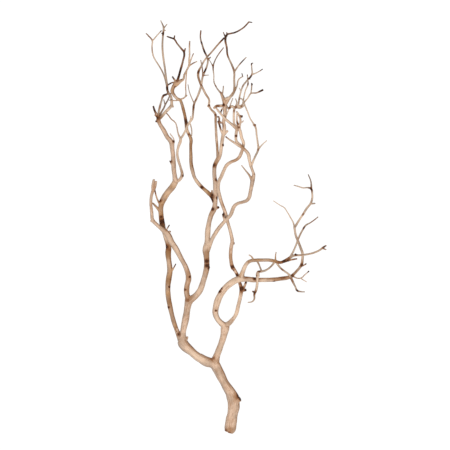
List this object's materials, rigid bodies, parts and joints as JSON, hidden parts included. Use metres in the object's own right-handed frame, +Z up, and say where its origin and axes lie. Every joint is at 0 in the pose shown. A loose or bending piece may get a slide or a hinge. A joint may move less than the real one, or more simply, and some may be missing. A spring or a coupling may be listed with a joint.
{
  "type": "fallen tree branch",
  "caption": "Dry, barkless tree branch lying down: a stout sawn stem that forks low into two arms, then into long crossing limbs and sprays of fine twigs.",
  "frame": {"origin": "middle of the branch's footprint, on the surface that it lies on", "axes": "+Y from the sawn butt towards the twig tips, +Z up from the surface, +X to the right of someone who looks from the butt towards the tips"},
  "size_m": [0.3986, 0.9098, 0.119],
  "materials": {
    "pale_wood": "bare, dry, sun-bleached, fine long grain",
    "grey_wood": "bare, dry, weathered grey-tan with long grain",
    "honey_wood": "bare, dry, honey brown with darker stains",
    "brown_twig": "dry grey-brown twig, dull",
    "dark_twig": "dry dark brown twig, dull"
  },
  "bodies": {
    "root": {"stem": "pale_wood", "left_arm": "pale_wood", "right_arm": "pale_wood", "left_outer_limb": "honey_wood", "left_upper_limb": "pale_wood", "left_inner_twig": "grey_wood", "long_straight_twig": "dark_twig", "centre_left_limb": "pale_wood", "crossing_limb": "pale_wood", "centre_limb": "grey_wood", "back_limb": "honey_wood", "dark_forked_twig": "dark_twig", "honey_forked_twig": "honey_wood", "hooked_strand": "brown_twig", "low_strand": "dark_twig", "outer_strand": "brown_twig", "left_fork_twig": "brown_twig", "centre_thin_limb": "grey_wood", "centre_upright_limb": "pale_wood", "upright_left_twig": "dark_twig", "upright_right_twig": "brown_twig", "inner_link_twig": "brown_twig", "looping_limb": "pale_wood", "looping_limb_tail": "grey_wood", "tail_left_twig": "brown_twig", "tail_right_twig": "dark_twig", "middle_limb": "pale_wood", "middle_upper_limb": "pale_wood", "over_crossing_limb": "grey_wood", "right_upper_limb": "pale_wood", "right_side_twig": "brown_twig", "knotty_cross_twig": "brown_twig", "upright_dark_twig": "brown_twig", "small_upright_twig": "brown_twig", "right_limb": "honey_wood", "right_rising_twig": "brown_twig", "right_level_twig": "brown_twig", "drooping_twig": "brown_twig", "dangling_twig": "brown_twig"}
  },
  "joints": []
}
